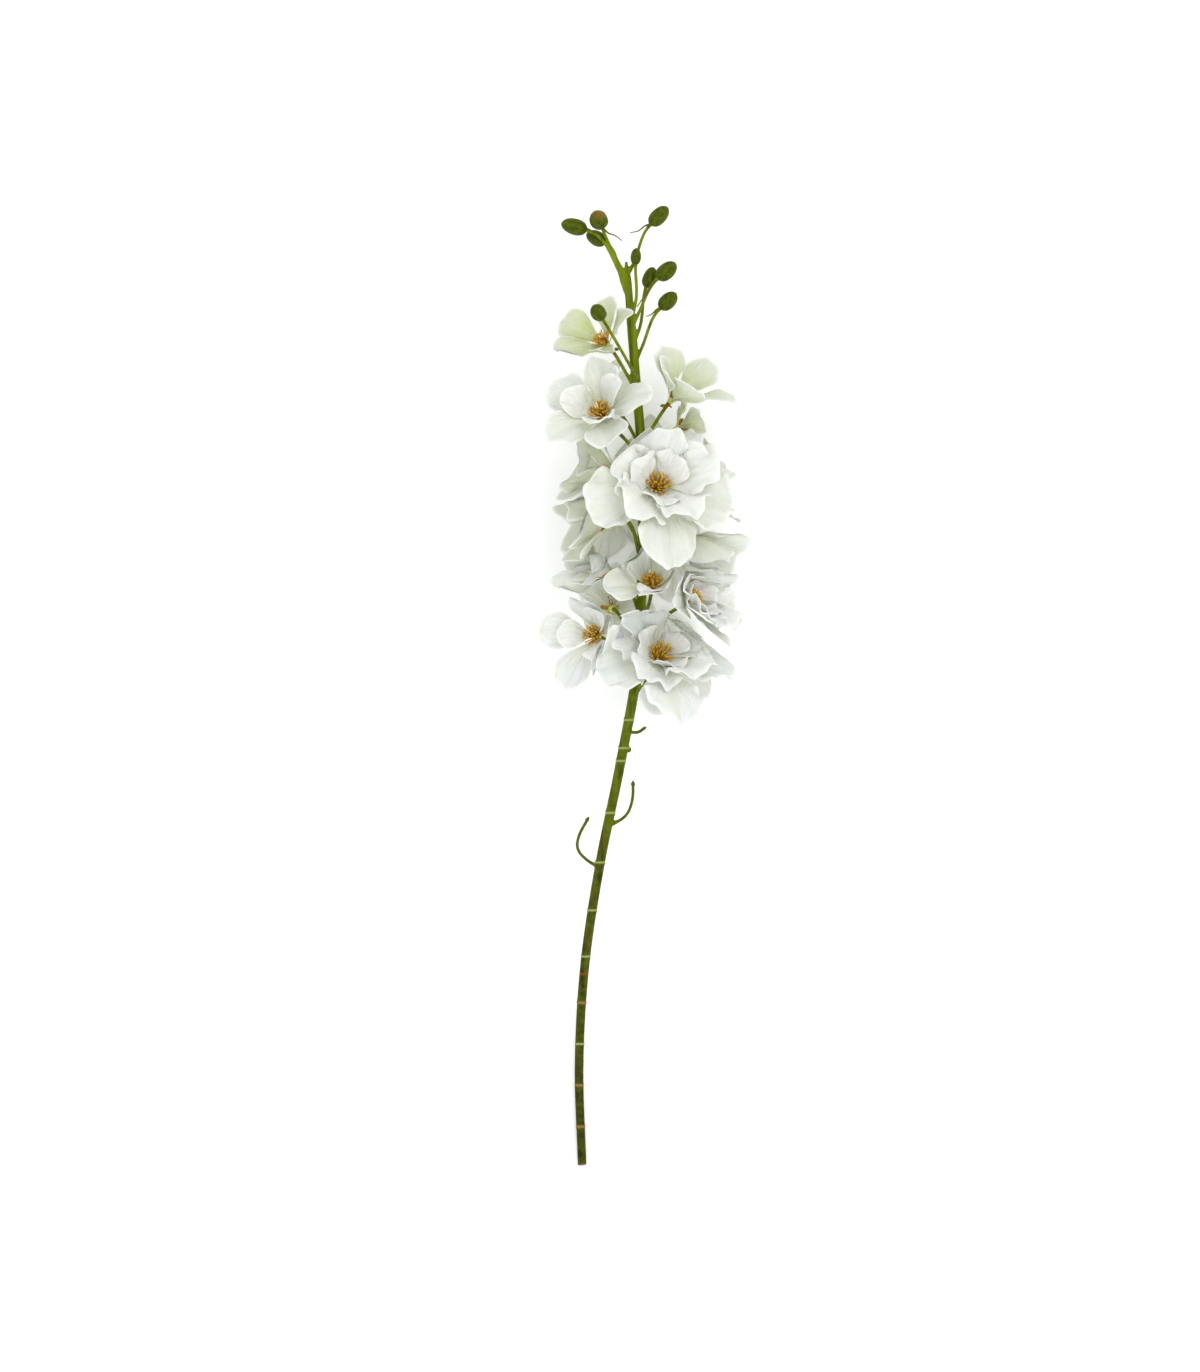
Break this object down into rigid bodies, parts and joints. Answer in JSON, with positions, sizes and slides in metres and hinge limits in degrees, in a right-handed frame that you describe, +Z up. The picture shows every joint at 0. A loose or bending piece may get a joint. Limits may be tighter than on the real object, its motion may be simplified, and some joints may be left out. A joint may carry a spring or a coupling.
{
  "type": "delphinium flower spike",
  "caption": "Cut delphinium spike lying down: slender jointed stem, shingled white ruffled blooms with gold stamens, and green buds on fine stalks at the tip.",
  "frame": {"origin": "middle of the object's box in x and y, on the surface that the spike lies on", "axes": "+Y up the spike from the cut end to the buds, +Z up out of the surface, +X to the right seen from above"},
  "size_m": [0.1314, 0.5997, 0.1079],
  "materials": {
    "stem_green": "satin moulded plastic in olive green, streaked lengthwise, reddish at the lower joints",
    "bud_green": "satin dark green with paler veins",
    "petal_white": "thin woven petal cloth, white, with fine veins and a green throat",
    "petal_green": "thin woven petal cloth, white flushed with pale green",
    "stamen_gold": "gold to burnt orange filaments"
  },
  "bodies": {
    "root": {"stem": "stem_green", "bloom_01": "petal_green", "bloom_02": "petal_green", "bloom_03": "petal_white", "bloom_04": "petal_green", "bloom_05": "petal_white", "bloom_06": "petal_white", "bloom_07": "petal_white", "bloom_08": "petal_white", "bloom_09": "petal_white", "bloom_10": "petal_white", "bloom_11": "petal_white", "bloom_12": "petal_white", "bloom_13": "petal_white", "bloom_14": "petal_white", "bloom_15": "petal_green", "bloom_16": "petal_green", "bloom_17": "petal_white", "bloom_18": "petal_white", "bloom_19": "petal_white", "bloom_20": "petal_white", "stamens_01": "stamen_gold", "stamens_02": "stamen_gold", "stamens_03": "stamen_gold", "stamens_04": "stamen_gold", "stamens_05": "stamen_gold", "stamens_06": "stamen_gold", "stamens_07": "stamen_gold", "stamens_08": "stamen_gold", "stamens_09": "stamen_gold", "stamens_10": "stamen_gold", "stamens_11": "stamen_gold", "stamens_12": "stamen_gold", "stamens_13": "stamen_gold", "stamens_14": "stamen_gold", "stamens_15": "stamen_gold", "stamens_16": "stamen_gold", "stamens_17": "stamen_gold", "stamens_18": "stamen_gold", "stamens_19": "stamen_gold", "stamens_20": "stamen_gold", "bud_1": "bud_green", "bud_2": "bud_green", "bud_3": "bud_green", "bud_4": "bud_green", "bud_5": "bud_green", "bud_6": "bud_green", "bud_7": "bud_green", "bud_8": "bud_green", "bud_9": "bud_green"}
  },
  "joints": []
}
